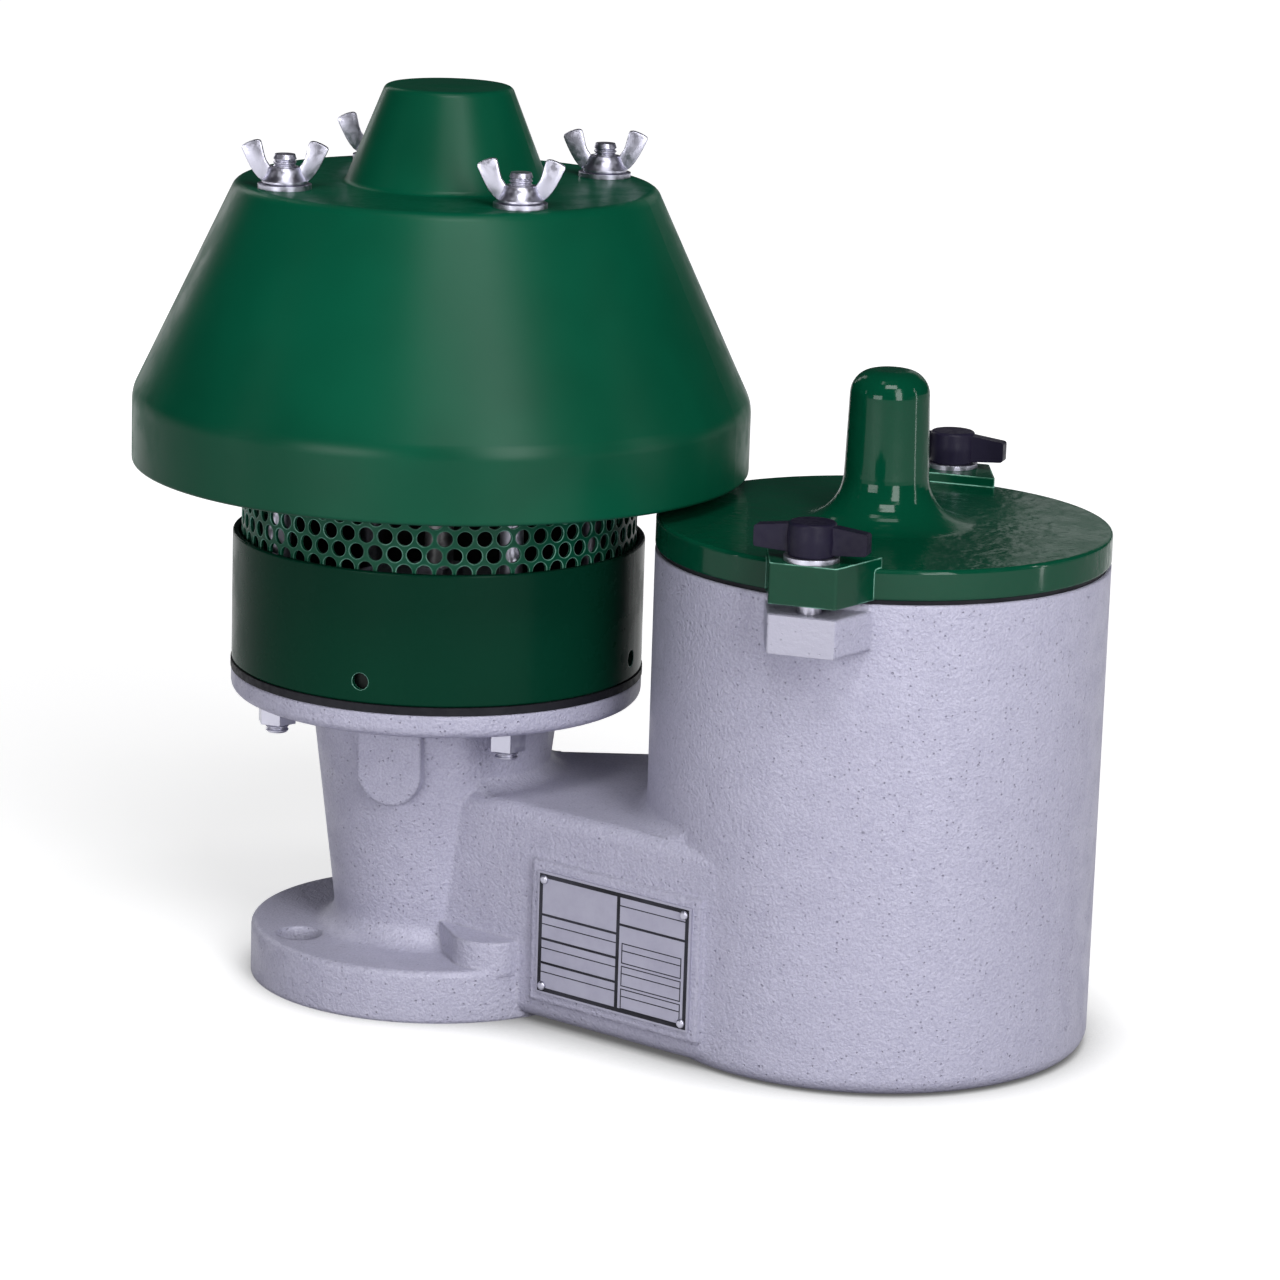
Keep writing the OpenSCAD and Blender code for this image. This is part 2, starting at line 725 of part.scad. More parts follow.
// Perforated disc over the mouth of the inlet tube
module inlet_screen() {
    pitch = 8.5;
    hole_r = 3.2;
    rows = ceil(seat_d / 2 / pitch) + 1;
    top = inlet_recess_h;
    color(stainless) difference() {
        at_pot() ring(top - inlet_screen_t, inlet_screen_t, inlet_recess_r - 0.3, 0);
        at_pot() for (i = [-rows:rows], j = [-rows:rows]) {
            place = [pitch * (i + j / 2), pitch * j * sqrt(3) / 2, 0];
            if (norm(place) < seat_d / 2 - hole_r - 1) translate(place) hole(-cut, top + 2 * cut, hole_r);
        }
        inlet_screw_places() hole(-2 * inlet_recess_h, 3 * inlet_recess_h, 2.4);
    }
}

module inlet_ring() {
    foot = inlet_recess_h - inlet_screen_t - inlet_ring_t;
    color(zinc) difference() {
        at_pot() ring(foot, inlet_ring_t, inlet_recess_r - 0.3, seat_d / 2);
        inlet_screw_places() hole(-2 * inlet_recess_h, 3 * inlet_recess_h, 2.4);
    }
}

// Pan-head screws, each head against the clamp ring and its shank up in the floor
module inlet_screws() {
    seat = -inlet_screen_t - inlet_ring_t;
    color(zinc) inlet_screw_places() revolve([
        [0, seat - 2, 0], [3.6, seat - 2, 1], [3.6, seat, 0], [2, seat, 0], [2, 8, 0.5], [0, 8, 0]
    ]);
}

// Nameplate

module nameplate() {
    color(stainless) difference() {
        on_wall() translate([plate_s, -pad_t, plate_z]) rotate([90, 0, 0])
            translate([-plate_l / 2, -plate_h / 2, 0]) cube([plate_l, plate_h, plate_t]);
        nameplate_screw_places() hole(-cut, plate_t + 2 * cut, plate_screw_r + press_fit);
    }
}

module nameplate_screws() {
    color(zinc) nameplate_screw_places() revolve([
        [0, -5, 0], [plate_screw_r, -5, 0.4], [plate_screw_r, plate_t, 0], [plate_head_r, plate_t, 0],
        [plate_head_r, plate_t + 1.2, 1], [0, plate_t + 1.2, 0]
    ]);
}

body_casting();
neck_gasket();
drum();
screen();
hood();
tie_rods();
tie_rod_nuts();
hood_washer_front_left();
hood_washer_front_right();
hood_washer_rear_right();
hood_washer_rear_left();
wing_nut_front_left();
wing_nut_front_right();
wing_nut_rear_right();
wing_nut_rear_left();
pressure_seat();
pressure_pallet();
pressure_seal();
pressure_stem();
pressure_weight();
pressure_stem_nut();
hood_bush();
cap();
cap_gasket();
cap_studs();
cap_washer_front();
cap_washer_rear();
cap_knob_front();
cap_knob_rear();
cap_bush();
vacuum_seat();
vacuum_pallet();
vacuum_seal();
vacuum_stem();
vacuum_weight();
vacuum_stem_nut();
inlet_screen();
inlet_ring();
inlet_screws();
nameplate();
nameplate_screws();
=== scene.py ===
"""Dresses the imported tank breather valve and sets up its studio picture.

Lengths are metres in the part's own frame: the neck stands on the Z axis, the
vacuum pot stands along +X, and the tank flange rests on the floor at z = 0.
"""

import logging
import math
from dataclasses import dataclass, field, replace
from enum import Enum

import bmesh
import bpy
from mathutils import Matrix, Vector


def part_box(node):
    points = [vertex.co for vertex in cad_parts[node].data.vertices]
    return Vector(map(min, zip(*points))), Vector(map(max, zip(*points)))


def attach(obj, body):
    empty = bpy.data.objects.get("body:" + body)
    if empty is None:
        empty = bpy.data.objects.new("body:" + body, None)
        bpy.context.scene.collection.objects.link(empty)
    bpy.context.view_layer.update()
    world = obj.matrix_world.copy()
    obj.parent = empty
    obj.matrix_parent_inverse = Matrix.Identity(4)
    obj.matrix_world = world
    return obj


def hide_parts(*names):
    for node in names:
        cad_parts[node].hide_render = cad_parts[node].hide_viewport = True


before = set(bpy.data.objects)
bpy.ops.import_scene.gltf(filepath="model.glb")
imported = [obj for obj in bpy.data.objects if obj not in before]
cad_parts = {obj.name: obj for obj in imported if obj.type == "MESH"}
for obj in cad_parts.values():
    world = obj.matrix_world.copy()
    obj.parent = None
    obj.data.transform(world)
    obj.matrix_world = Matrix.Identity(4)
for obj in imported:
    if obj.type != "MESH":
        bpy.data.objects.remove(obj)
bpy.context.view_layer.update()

log = logging.getLogger("breather_valve")

MM = 0.001
ROOT_BODY = "body"

Colour = tuple[float, float, float]
Point2 = tuple[float, float]

# Outline of a wing nut's ear: millimetres out from the axis and up from the foot
EAR_OUTLINE: tuple[Point2, ...] = (
    (5.4, 0.9), (8.9, 0.9), (10.7, 2.3), (12.5, 4.6), (14.1, 7.3), (15.6, 10.4), (16.9, 13.3),
    (17.5, 14.9), (17.3, 15.8), (16.4, 16.5), (14.6, 17.5), (12.5, 18.3), (11.2, 18.5),
    (10.2, 18.3), (9.6, 17.6), (8.9, 14.6), (8.2, 11.6), (7.5, 9.6), (6.4, 8.0), (5.4, 6.3),
)


class Slot(Enum):
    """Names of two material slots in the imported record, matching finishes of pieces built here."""

    ZINC = "zinc"
    PLATE_METAL = "plate_metal"


class Corner(Enum):
    """Corners of the hood's top where a tie rod comes through, as the record names them."""

    FRONT_LEFT = "front_left"
    FRONT_RIGHT = "front_right"
    REAR_RIGHT = "rear_right"
    REAR_LEFT = "rear_left"


# Node helpers


class Graph:
    """Thin helper that adds and links nodes in one node tree."""

    def __init__(self, tree: bpy.types.NodeTree) -> None:
        """Keeps the tree that the helper writes to.

        Args:
            tree: Shader or group tree to fill.
        """
        self.tree = tree

    def add(self, kind: str, **settings: object) -> bpy.types.Node:
        """Adds a node and sets its properties.

        Args:
            kind: Blender node type.
            settings: Node properties by name.

        Returns:
            The new node.
        """
        node = self.tree.nodes.new(kind)
        for name, value in settings.items():
            setattr(node, name, value)
        return node

    def link(self, out: bpy.types.NodeSocket, into: bpy.types.NodeSocket) -> None:
        """Links an output socket to an input socket."""
        self.tree.links.new(out, into)

    def feed(self, node: bpy.types.Node, values: dict[str | int, object]) -> bpy.types.Node:
        """Sets or links several inputs of a node.

        Args:
            node: Node whose inputs are filled.
            values: Input name or index to a socket or a plain value.

        Returns:
            The same node.
        """
        for key, value in values.items():
            if isinstance(value, bpy.types.NodeSocket):
                self.link(value, node.inputs[key])
            else:
                node.inputs[key].default_value = value
        return node

    def math(self, operation: str, a: object, b: object = 0.0) -> bpy.types.NodeSocket:
        """Adds a Math node.

        Args:
            operation: Blender's name of the operation.
            a: First socket or number.
            b: Second socket or number.

        Returns:
            The node's output.
        """
        node = self.add("ShaderNodeMath", operation=operation)
        return self.feed(node, {0: a, 1: b}).outputs[0]

    def remap(self, value: object, low: float, high: float, to_low: float = 0.0,
              to_high: float = 1.0) -> bpy.types.NodeSocket:
        """Maps a range of a value to another range, clamped and eased.

        Args:
            value: Socket to map.
            low: Start of the range.
            high: End of the range.
            to_low: Result at the start.
            to_high: Result at the end.

        Returns:
            The mapped value.
        """
        node = self.add("ShaderNodeMapRange", interpolation_type="SMOOTHSTEP")
        self.feed(node, {0: value, 1: low, 2: high, 3: to_low, 4: to_high})
        return node.outputs[0]

    def mix(self, mask: object, a: object, b: object) -> bpy.types.NodeSocket:
        """Mixes two colours by a mask.

        Args:
            mask: Socket or number from 0 to 1.
            a: Colour socket or RGBA value where the mask is 0.
            b: Colour socket or RGBA value where the mask is 1.

        Returns:
            The mixed colour.
        """
        node = self.add("ShaderNodeMix", data_type="RGBA")
        self.feed(node, {0: mask, 6: a, 7: b})
        return node.outputs[2]

    def noise(self, coords: bpy.types.NodeSocket, scale: float, detail: float = 2.0,
              rough: float = 0.5) -> bpy.types.NodeSocket:
        """Adds a noise texture.

        Args:
            coords: Coordinates socket.
            scale: Cells per metre.
            detail: Number of octaves.
            rough: Weight of the higher octaves.

        Returns:
            The noise value.
        """
        node = self.add("ShaderNodeTexNoise")
        self.feed(node, {"Vector": coords, "Scale": scale, "Detail": detail, "Roughness": rough})
        return node.outputs[0]


def rgba(colour: Colour) -> tuple[float, float, float, float]:
    """Adds full alpha to a colour."""
    return (*colour, 1.0)


class ShaderGroups:
    """Shader node groups that more than one finish uses, built once.

    Cells are counted per metre, and shares run from 0 to 1.
    """

    FINE_CELLS = 1000.0
    MEDIUM_CELLS = 480.0
    FINE_WEIGHT = 0.7
    MEDIUM_WEIGHT = 0.9
    SMALL_PIT_CELLS = 520.0
    SMALL_PITS_SPARED = 0.74
    LARGE_PIT_CELLS = 130.0
    LARGE_PITS_SPARED = 0.6
    LARGE_PIT_RATIO = 1.5
    PIT_DEPTH = 1.2
    SMUDGE_RATIO = 7.0
    LAY_STRETCH = 0.02

    def __init__(self) -> None:
        """Builds the groups."""
        self.grain = self._cast_grain()
        self.tone = self._tone_drift()
        self.lay = self._turned_lay()

    @staticmethod
    def _start(name: str, inputs: dict[str, tuple[str, float]],
               outputs: dict[str, str]) -> tuple[Graph, bpy.types.Node, bpy.types.Node]:
        """Makes an empty group with named sockets.

        Args:
            name: Group name.
            inputs: Input name to socket type and default.
            outputs: Output name to socket type.

        Returns:
            The graph helper, the group's input node and its output node.
        """
        tree = bpy.data.node_groups.new(name, "ShaderNodeTree")
        for label, (kind, default) in inputs.items():
            socket = tree.interface.new_socket(label, in_out="INPUT", socket_type=kind)
            if kind == "NodeSocketFloat":
                socket.default_value = default
        for label, kind in outputs.items():
            tree.interface.new_socket(label, in_out="OUTPUT", socket_type=kind)
        graph = Graph(tree)
        return graph, graph.add("NodeGroupInput"), graph.add("NodeGroupOutput")

    def _cast_grain(self) -> bpy.types.NodeTree:
        """Sand-cast skin: a fine grain, shallow dimples and scattered pinholes."""
        floats = "NodeSocketFloat"
        graph, given, out = self._start(
            "cast_grain",
            {"Vector": ("NodeSocketVector", 0.0), "Grain": (floats, 1.0), "Pit Size": (floats, 0.45 * MM)},
            {"Height": floats, "Pits": floats, "Speckle": floats},
        )
        coords = given.outputs["Vector"]
        size = given.outputs["Pit Size"]
        fine = graph.noise(coords, self.FINE_CELLS, 2.0, 0.6)
        medium = graph.noise(coords, self.MEDIUM_CELLS, 2.0, 0.5)
        small = self._pinholes(graph, coords, self.SMALL_PIT_CELLS, size, self.SMALL_PITS_SPARED)
        wide = graph.math("MULTIPLY", size, self.LARGE_PIT_RATIO)
        large = self._pinholes(graph, coords, self.LARGE_PIT_CELLS, wide, self.LARGE_PITS_SPARED)
        pits = graph.math("MAXIMUM", small, large)
        fine_part = graph.math("MULTIPLY", fine, self.FINE_WEIGHT)
        medium_part = graph.math("MULTIPLY", medium, self.MEDIUM_WEIGHT)
        grain = graph.math("ADD", fine_part, medium_part)
        grain = graph.math("MULTIPLY", grain, given.outputs["Grain"])
        height = graph.math("SUBTRACT", grain, graph.math("MULTIPLY", pits, self.PIT_DEPTH))
        graph.link(height, out.inputs["Height"])
        graph.link(pits, out.inputs["Pits"])
        graph.link(graph.remap(fine, 0.34, 0.66), out.inputs["Speckle"])
        return graph.tree

    @staticmethod
    def _pinholes(graph: Graph, coords: bpy.types.NodeSocket, scale: float,
                  size: bpy.types.NodeSocket, spared: float) -> bpy.types.NodeSocket:
        """Scatters round pinholes, one in some of the cells of a grid.

        Args:
            graph: Group graph.
            coords: Coordinates socket.
            scale: Cells per metre.
            size: Pinhole radius in metres.
            spared: Share of the cells that stay without a pinhole.

        Returns:
            A mask that is 1 inside a pinhole.
        """
        cells = graph.add("ShaderNodeTexVoronoi", feature="F1")
        graph.feed(cells, {"Vector": coords, "Scale": scale, "Randomness": 1.0})
        picked = graph.add("ShaderNodeSeparateColor")
        graph.link(cells.outputs["Color"], picked.inputs[0])
        rim = graph.math("DIVIDE", cells.outputs["Distance"], graph.math("MULTIPLY", size, scale))
        chosen = graph.math("GREATER_THAN", picked.outputs[0], spared)
        return graph.math("MULTIPLY", graph.remap(rim, 0.5, 1.0, 1.0, 0.0), chosen)

    def _tone_drift(self) -> bpy.types.NodeTree:
        """Slow drift of tone over a surface, with a finer smudge on top."""
        floats = "NodeSocketFloat"
        graph, given, out = self._start(
            "tone_drift",
            {"Vector": ("NodeSocketVector", 0.0), "Scale": (floats, 14.0)},
            {"Drift": floats, "Smudge": floats},
        )
        coords = given.outputs["Vector"]
        slow = graph.add("ShaderNodeTexNoise")
        graph.feed(slow, {"Vector": coords, "Scale": given.outputs["Scale"], "Detail": 3.0})
        quick = graph.add("ShaderNodeTexNoise")
        faster = graph.math("MULTIPLY", given.outputs["Scale"], self.SMUDGE_RATIO)
        graph.feed(quick, {"Vector": coords, "Scale": faster, "Detail": 4.0, "Roughness": 0.6})
        graph.link(graph.remap(slow.outputs[0], 0.3, 0.7), out.inputs["Drift"])
        graph.link(graph.remap(quick.outputs[0], 0.35, 0.7), out.inputs["Smudge"])
        return graph.tree

    def _turned_lay(self) -> bpy.types.NodeTree:
        """Fine lines that run round the Z axis, as turning and spinning leave them."""
        floats = "NodeSocketFloat"
        graph, given, out = self._start(
            "turned_lay",
            {"Vector": ("NodeSocketVector", 0.0), "Pitch": (floats, 900.0)},
            {"Height": floats},
        )
        parts = graph.add("ShaderNodeSeparateXYZ")
        graph.link(given.outputs["Vector"], parts.inputs[0])
        stretched = graph.add("ShaderNodeCombineXYZ")
        side = graph.math("MULTIPLY", parts.outputs[0], self.LAY_STRETCH)
        deep = graph.math("MULTIPLY", parts.outputs[1], self.LAY_STRETCH)
        graph.feed(stretched, {0: side, 1: deep, 2: parts.outputs[2]})
        lines = graph.add("ShaderNodeTexNoise")
        pitch = given.outputs["Pitch"]
        graph.feed(lines, {"Vector": stretched.outputs[0], "Scale": pitch, "Detail": 2.0})
        graph.link(lines.outputs[0], out.inputs["Height"])
        return graph.tree


# Finishes


@dataclass(frozen=True)
class Finish:
    """Base of the finishes: a named procedural material.

    Attributes:
        name: Material name.
        colour: Main linear colour.
        roughness: Middle roughness.
        metallic: Metallic share.
    """

    name: str
    colour: Colour
    roughness: float
    metallic: float = 0.0

    def _start(self) -> tuple[bpy.types.Material, Graph, bpy.types.Node, bpy.types.NodeSocket]:
        """Makes the material with its Principled shader.

        Returns:
            The material, its graph, the Principled node and the Object coordinates.
        """
        material = bpy.data.materials.new(self.name)
        material.use_nodes = True
        graph = Graph(material.node_tree)
        shader = material.node_tree.nodes["Principled BSDF"]
        shader.inputs["Metallic"].default_value = self.metallic
        coords = graph.add("ShaderNodeTexCoord").outputs["Object"]
        return material, graph, shader, coords

    def _group(self, graph: Graph, tree: bpy.types.NodeTree, coords: bpy.types.NodeSocket,
               **values: float) -> bpy.types.Node:
        """Places a shared group and feeds it coordinates and values.

        Args:
            graph: Material graph.
            tree: Group tree.
            coords: Coordinates socket.
            values: Input values by name, with spaces as underscores.

        Returns:
            The group node.
        """
        node = graph.add("ShaderNodeGroup", node_tree=tree)
        named = {name.replace("_", " "): value for name, value in values.items()}
        return graph.feed(node, {"Vector": coords} | named)

    def _bump(self, graph: Graph, shader: bpy.types.Node, height: bpy.types.NodeSocket,
              strength: float, distance: float, normal: bpy.types.NodeSocket | None = None) -> None:
        """Adds a bump to the shader.

        Args:
            graph: Material graph.
            shader: Principled node.
            height: Height from 0 to about 1.
            strength: Bump strength.
            distance: Height of one unit in metres.
            normal: Normal that the bump starts from.
        """
        bump = graph.add("ShaderNodeBump")
        graph.feed(bump, {"Strength": strength, "Distance": distance, "Height": height})
        if normal is not None:
            graph.link(normal, bump.inputs["Normal"])
        graph.link(bump.outputs[0], shader.inputs["Normal"])

    def build(self, groups: ShaderGroups) -> bpy.types.Material:
        """Builds the material.

        Args:
            groups: Shared shader groups.

        Returns:
            The material.
        """
        raise NotImplementedError


@dataclass(frozen=True)
class CastFinish(Finish):
    """Sand-cast aluminium with soft blends, pinholes and paler machined faces.

    Attributes:
        light: Colour of the raised grain.
        dark: Colour of the hollows and pinholes.
        machined: Colour of a milled face.
        blend: Radius of the soft blends between cast faces, in metres.
        lug_face: Distance of the milled lug faces from the line of the axes.
        milled_edge: Radius of the edges of a milled face.
        grain_height: Height of the cast grain.
        drift: Share of the slow drift of tone.
        speckle: Share of the pale grain.
        smudge: Share of the dark smudges.
        pit_tone: Share of the dark colour in a pinhole.
        milled_pit_tone: The same on a milled face.
    """

    light: Colour = (0.52, 0.51, 0.61)
    dark: Colour = (0.1, 0.095, 0.16)
    machined: Colour = (0.37, 0.365, 0.44)
    blend: float = 2.6 * MM
    lug_face: float = 112.6 * MM
    milled_edge: float = 0.3 * MM
    grain_height: float = 0.6 * MM
    drift: float = 0.06
    speckle: float = 0.4
    smudge: float = 0.04
    pit_tone: float = 0.3
    milled_pit_tone: float = 0.1

    def build(self, groups: ShaderGroups) -> bpy.types.Material:
        """Builds the cast material.

        Args:
            groups: Shared shader groups.

        Returns:
            The material.
        """
        material, graph, shader, coords = self._start()
        grain = self._group(graph, groups.grain, coords)
        tone = self._group(graph, groups.tone, coords, Scale=13.0)
        place = graph.add("ShaderNodeSeparateXYZ")
        graph.link(coords, place.inputs[0])
        off_axis = graph.math("ABSOLUTE", place.outputs[1])
        milled = graph.remap(off_axis, self.lug_face, self.lug_face + 0.2 * MM)

        drift = graph.math("MULTIPLY", tone.outputs["Drift"], self.drift)
        base = graph.mix(drift, rgba(self.colour), rgba(self.light))
        speckle = graph.math("MULTIPLY", grain.outputs["Speckle"], self.speckle)
        base = graph.mix(speckle, base, rgba(self.light))
        smudge = graph.math("MULTIPLY", tone.outputs["Smudge"], self.smudge)
        base = graph.mix(smudge, base, rgba(self.dark))
        base = graph.mix(milled, base, rgba(self.machined))
        pit_share = graph.remap(milled, 0.0, 1.0, self.pit_tone, self.milled_pit_tone)
        pits = graph.math("MULTIPLY", grain.outputs["Pits"], pit_share)
        base = graph.mix(pits, base, rgba(self.dark))
        graph.link(base, shader.inputs["Base Color"])
        low, high = self.roughness - 0.06, self.roughness + 0.08
        rough = graph.remap(tone.outputs["Smudge"], 0.0, 1.0, low, high)
        smoother = graph.math("MULTIPLY", milled, 0.12)
        graph.link(graph.math("SUBTRACT", rough, smoother), shader.inputs["Roughness"])

        soft = graph.add("ShaderNodeBevel", samples=6)
        radius = graph.remap(milled, 0.0, 1.0, self.blend, self.milled_edge)
        graph.link(radius, soft.inputs["Radius"])
        calm = graph.math("SUBTRACT", 1.0, graph.math("MULTIPLY", milled, 0.7))
        height = graph.math("MULTIPLY", grain.outputs["Height"], calm)
        self._bump(graph, shader, height, 0.85, self.grain_height, soft.outputs[0])
        return material


@dataclass(frozen=True)
class PaintFinish(Finish):
    """Glossy green enamel, over sheet metal or over a rougher casting.

    Attributes:
        deep: Colour in the thick of the paint.
        lumps: Height of the unevenness under the paint, in metres.
        lump_scale: Unevenness cells per metre.
        blend: Radius of the soft paint edges, in metres.
        gloss: Roughness of the top coat.
        coat: Weight of the top coat.
        edge: Colour along the edges: a painted highlight standing in for the glints there, partly also the
            thinner enamel.
        shade_painted_below: Height under which the piece is painted near black as painted shade, in
            metres.
        painted_shade: Near-black colour of that painted shade.
        sheen: Tint of the reflections under the top coat.
        under_ior: Refraction of the layer under the top coat.
        coat_ior: Refraction of the top coat.
        peel_cells: Orange-peel cells per metre.
    """

    deep: Colour = (0.0006, 0.034, 0.016)
    lumps: float = 0.03 * MM
    lump_scale: float = 60.0
    blend: float = 1.0 * MM
    gloss: float = 0.2
    coat: float = 0.12
    edge: Colour = (0.26, 0.56, 0.44)
    shade_painted_below: float = -1.0
    painted_shade: Colour = (0.002, 0.003, 0.003)
    sheen: Colour = (0.32, 1.0, 0.68)
    under_ior: float = 1.06
    coat_ior: float = 2.4
    peel_cells: float = 420.0

    def build(self, groups: ShaderGroups) -> bpy.types.Material:
        """Builds the enamel.

        Args:
            groups: Shared shader groups.

        Returns:
            The material.
        """
        material, graph, shader, coords = self._start()
        tone = self._group(graph, groups.tone, coords, Scale=9.0)
        drift = graph.math("MULTIPLY", tone.outputs["Drift"], 0.6)
        base = graph.mix(drift, rgba(self.colour), rgba(self.deep))
        soft = graph.add("ShaderNodeBevel", samples=8)
        soft.inputs["Radius"].default_value = self.blend
        # Paler colour along the edges from a bevel-normal mask: a painted highlight line for the edge
        # glints, partly also thinner enamel.
        bend = graph.add("ShaderNodeVectorMath", operation="DOT_PRODUCT")
        plain = graph.add("ShaderNodeNewGeometry").outputs["Normal"]
        graph.feed(bend, {0: soft.outputs[0], 1: plain})
        thin = graph.remap(bend.outputs["Value"], 0.84, 0.99, 1.0, 0.0)
        patchy = graph.remap(tone.outputs["Smudge"], 0.1, 0.7, 0.25, 0.9)
        thin = graph.math("MULTIPLY", thin, patchy)
        base = graph.mix(thin, base, rgba(self.edge))
        # Below the set height the colour turns near black: painted shade for the sleeve inside the drum,
        # seen through the screen's holes.
        place = graph.add("ShaderNodeSeparateXYZ")
        graph.link(coords, place.inputs[0])
        in_painted_shade = graph.math("LESS_THAN", place.outputs[2], self.shade_painted_below)
        graph.link(graph.mix(in_painted_shade, base, rgba(self.painted_shade)), shader.inputs["Base Color"])
        low, high = self.roughness - 0.05, self.roughness + 0.07
        graph.link(graph.remap(tone.outputs["Smudge"], 0.0, 1.0, low, high), shader.inputs["Roughness"])
        shader.inputs["IOR"].default_value = self.under_ior
        shader.inputs["Specular IOR Level"].default_value = 1.0
        shader.inputs["Specular Tint"].default_value = rgba(self.sheen)
        shader.inputs["Coat Weight"].default_value = self.coat
        shader.inputs["Coat Roughness"].default_value = self.gloss
        shader.inputs["Coat IOR"].default_value = self.coat_ior
        waves = graph.noise(coords, self.lump_scale, 2.0, 0.5)
        peel = graph.noise(coords, self.peel_cells, 1.0, 0.5)
        height = graph.math("ADD", waves, graph.math("MULTIPLY", peel, 0.1))
        self._bump(graph, shader, height, 1.0, self.lumps, soft.outputs[0])
        return material


@dataclass(frozen=True)
class MetalFinish(Finish):
    """Plain or plated metal with turned lines and handling marks.

    Attributes:
        worn: Colour of the duller patches.
        line_height: Height of the turned lines, in metres.
        edge: Radius of the softened edges.
    """

    worn: Colour = (0.45, 0.45, 0.5)
    line_height: float = 0.02 * MM
    edge: float = 0.35 * MM

    def build(self, groups: ShaderGroups) -> bpy.types.Material:
        """Builds the metal.

        Args:
            groups: Shared shader groups.

        Returns:
            The material.
        """
        material, graph, shader, coords = self._start()
        tone = self._group(graph, groups.tone, coords, Scale=60.0)
        lay = self._group(graph, groups.lay, coords)
        mask = graph.math("MULTIPLY", tone.outputs["Drift"], 0.55)
        graph.link(graph.mix(mask, rgba(self.colour), rgba(self.worn)), shader.inputs["Base Color"])
        low, high = self.roughness - 0.06, self.roughness + 0.12
        graph.link(graph.remap(tone.outputs["Smudge"], 0.0, 1.0, low, high), shader.inputs["Roughness"])
        soft = graph.add("ShaderNodeBevel", samples=4)
        soft.inputs["Radius"].default_value = self.edge
        self._bump(graph, shader, lay.outputs["Height"], 0.5, self.line_height, soft.outputs[0])
        return material


@dataclass(frozen=True)
class MouldedFinish(Finish):
    """Moulded plastic or rubber with a fine matt texture.

    Attributes:
        rubbed: Colour of the paler, rubbed patches.
        texture: Height of the texture, in metres.
        edge: Radius of the softened edges.
        specular: Level of the reflections.
    """

    rubbed: Colour = (0.03, 0.03, 0.04)
    texture: float = 0.03 * MM
    edge: float = 0.5 * MM
    specular: float = 0.16

    def build(self, groups: ShaderGroups) -> bpy.types.Material:
        """Builds the moulded material.

        Args:
            groups: Shared shader groups.

        Returns:
            The material.
        """
        material, graph, shader, coords = self._start()
        tone = self._group(graph, groups.tone, coords, Scale=45.0)
        base = graph.mix(tone.outputs["Drift"], rgba(self.colour), rgba(self.rubbed))
        graph.link(base, shader.inputs["Base Color"])
        low, high = self.roughness - 0.05, self.roughness + 0.1
        graph.link(graph.remap(tone.outputs["Smudge"], 0.0, 1.0, low, high), shader.inputs["Roughness"])
        shader.inputs["Specular IOR Level"].default_value = self.specular
        soft = graph.add("ShaderNodeBevel", samples=4)
        soft.inputs["Radius"].default_value = self.edge
        self._bump(graph, shader, graph.noise(coords, 1600.0, 2.0), 0.6, self.texture, soft.outputs[0])
        return material


class Palette:
    """The finishes of the valve, built as materials once."""

    def __init__(self) -> None:
        """Builds every material."""
        groups = ShaderGroups()
        self.cast = CastFinish("cast_aluminium", (0.35, 0.345, 0.445), 0.52, 0.12).build(groups)
        sheet = PaintFinish("green_enamel_sheet", (0.0008, 0.073, 0.036), 0.34, gloss=0.32, coat=0.06)
        self.sheet_paint = sheet.build(groups)
        drum_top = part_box("drum")[1].z
        # The screen's sleeve inside the drum is painted near black: painted shade behind the holes.
        screen = replace(sheet, name="green_enamel_screen", shade_painted_below=drum_top - 2.0 * MM)
        self.screen_paint = screen.build(groups)
        # The drum's enamel is a darker, browner copy of the green: painted shade for the hood's shadow
        # over the drum.
        self.shaded_drum_paint = PaintFinish(
            "green_enamel_drum_shaded", (0.0006, 0.03, 0.015), 0.26, deep=(0.001, 0.018, 0.01),
            blend=0.7 * MM, gloss=0.26, coat=0.02,
        ).build(groups)
        self.cast_paint = PaintFinish(
            "green_enamel_casting", (0.0006, 0.05, 0.024), 0.2, lumps=0.4 * MM, lump_scale=150.0,
            blend=1.2 * MM, gloss=0.09, coat=0.085,
        ).build(groups)
        self.zinc = MetalFinish(
            "zinc_plate", (0.45, 0.445, 0.52), 0.36, 1.0, worn=(0.33, 0.33, 0.4),
        ).build(groups)
        self.stainless = MetalFinish(
            "stainless", (0.5, 0.5, 0.51), 0.38, 1.0, line_height=0.005 * MM,
        ).build(groups)
        self.bronze = MetalFinish(
            "bronze", (0.5, 0.33, 0.13), 0.36, 1.0, worn=(0.3, 0.19, 0.08), line_height=0.005 * MM,
        ).build(groups)
        self.plate = MetalFinish(
            "plate_metal", (0.36, 0.355, 0.44), 0.42, 0.35, worn=(0.3, 0.295, 0.38), line_height=0.01 * MM,
        ).build(groups)
        self.print = MouldedFinish("plate_print", (0.008, 0.008, 0.012), 0.5).build(groups)
        self.knob = MouldedFinish(
            "black_knob_plastic", (0.006, 0.0045, 0.014), 0.48, rubbed=(0.01, 0.008, 0.022),
        ).build(groups)
        self.rubber = MouldedFinish(
            "black_gasket", (0.006, 0.006, 0.009), 0.6, rubbed=(0.014, 0.014, 0.018),
        ).build(groups)
        self.seal = MouldedFinish(
            "white_seal", (0.75, 0.74, 0.7), 0.45, rubbed=(0.66, 0.65, 0.6),
        ).build(groups)


# Mesh helpers


def dress(name: str, material: bpy.types.Material) -> bpy.types.Object:
    """Gives a CAD node its material.

    Args:
        name: Node name.
        material: Material for all its faces.

    Returns:
        The node's object.
    """
    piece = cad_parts[name]
    piece.data.materials.clear()
    piece.data.materials.append(material)
    log.info("dressed %s with %s", name, material.name)
    return piece


